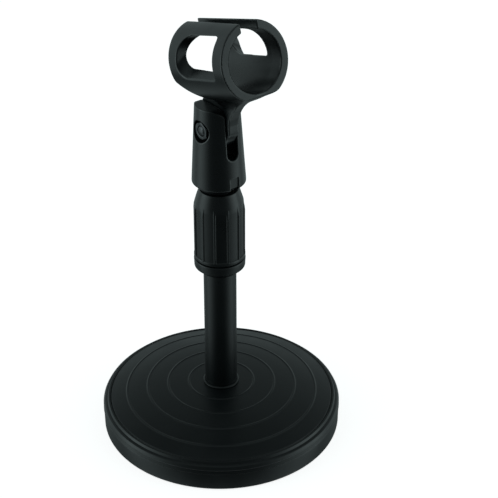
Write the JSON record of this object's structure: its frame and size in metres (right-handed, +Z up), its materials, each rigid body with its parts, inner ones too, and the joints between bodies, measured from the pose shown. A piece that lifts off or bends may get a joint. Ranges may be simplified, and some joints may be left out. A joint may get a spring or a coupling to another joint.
{
  "type": "desktop microphone stand",
  "caption": "Desktop microphone stand: weighted round base, telescoping tube with twist clutch, and a tilting clip with a split windowed ring.",
  "frame": {"origin": "centre of the underside, on the tube's axis", "axes": "+Z up along the tube, -Y the way the clip faces"},
  "size_m": [0.12, 0.12, 0.2239],
  "materials": {
    "base_plastic": "satin black ABS, faintly pebbled",
    "grip_plastic": "satin black ABS",
    "clip_plastic": "satin black ABS",
    "coated_steel": "black powder coat, semi-matt",
    "black_nylon": "moulded black nylon",
    "acetal": "natural white acetal",
    "cast_iron": "as cast",
    "zinc_steel": "zinc plated",
    "blackened_steel": "black oxide, worn bright on the edges",
    "brass": "turned",
    "foam_pad": "closed-cell foam"
  },
  "bodies": {
    "base": {"base_cover": "base_plastic", "base_weight": "cast_iron", "base_tray": "base_plastic", "tray_screws": "zinc_steel", "base_pad": "foam_pad", "foot_nut": "zinc_steel", "foot_washer": "zinc_steel", "tube_collar": "coated_steel", "outer_tube": "coated_steel", "clutch_body": "grip_plastic"},
    "collet": {"clutch_collet": "acetal"},
    "sleeve": {"clutch_sleeve": "grip_plastic"},
    "bush": {"mast_bush": "acetal"},
    "mast": {"inner_tube": "coated_steel", "bush_retainer": "zinc_steel", "mast_plug": "black_nylon", "thread_stud": "zinc_steel", "clip_fork": "clip_plastic", "thread_insert": "brass", "pivot_bolt": "blackened_steel", "pivot_nut": "blackened_steel", "pivot_washers": "blackened_steel"},
    "holder": {"clip_ring": "clip_plastic"}
  },
  "joints": [
    {"name": "clutch_twist", "type": "hinge", "parent": "collet", "child": "sleeve", "pos_m": [0, 0, 0.115], "axis": [0, 0, 1], "range_deg": [0, 190]},
    {"name": "collet_lift", "type": "slide", "parent": "base", "child": "collet", "axis": [0, 0, 1], "range_m": [0, 0.001]},
    {"name": "height_slide", "type": "slide", "parent": "base", "child": "bush", "axis": [0, 0, 1], "range_m": [0, 0.07]},
    {"name": "mast_swivel", "type": "hinge", "parent": "bush", "child": "mast", "pos_m": [0, 0, 0.018], "axis": [0, 0, 1], "continuous": true},
    {"name": "clip_tilt", "type": "hinge", "parent": "mast", "child": "holder", "pos_m": [0, 0, 0.1657], "axis": [1, 0, 0], "range_deg": [-100, 72]}
  ],
  "couplings": [
    {"joint": "clutch_twist", "follows": "collet_lift", "rad_per_m": 3141.6}
  ]
}
